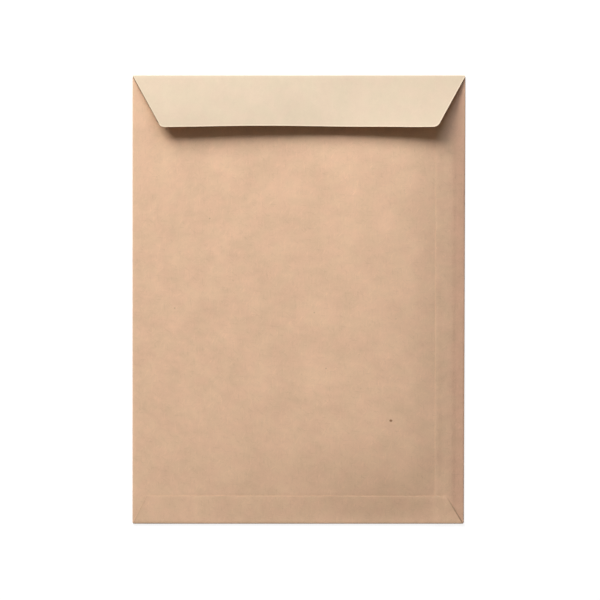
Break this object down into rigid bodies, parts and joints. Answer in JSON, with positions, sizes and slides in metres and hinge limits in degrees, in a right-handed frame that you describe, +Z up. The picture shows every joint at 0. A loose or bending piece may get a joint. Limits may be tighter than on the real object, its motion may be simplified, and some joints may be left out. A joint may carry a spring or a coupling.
{
  "type": "paper envelope",
  "caption": "Flat kraft paper pocket envelope with a side seam, a glued bottom flap and an unsealed top flap that stands a little open.",
  "frame": {"origin": "middle of the underside, where the front panel lies on the table", "axes": "+X across the width towards the side seam, +Y up the envelope towards the top flap, +Z up out of the flap side"},
  "size_m": [0.26, 0.35, 0.0122],
  "materials": {
    "kraft_paper": "uncoated brown kraft paper, matt, faintly fibrous"
  },
  "bodies": {
    "root": {"envelope": "kraft_paper"}
  },
  "joints": []
}
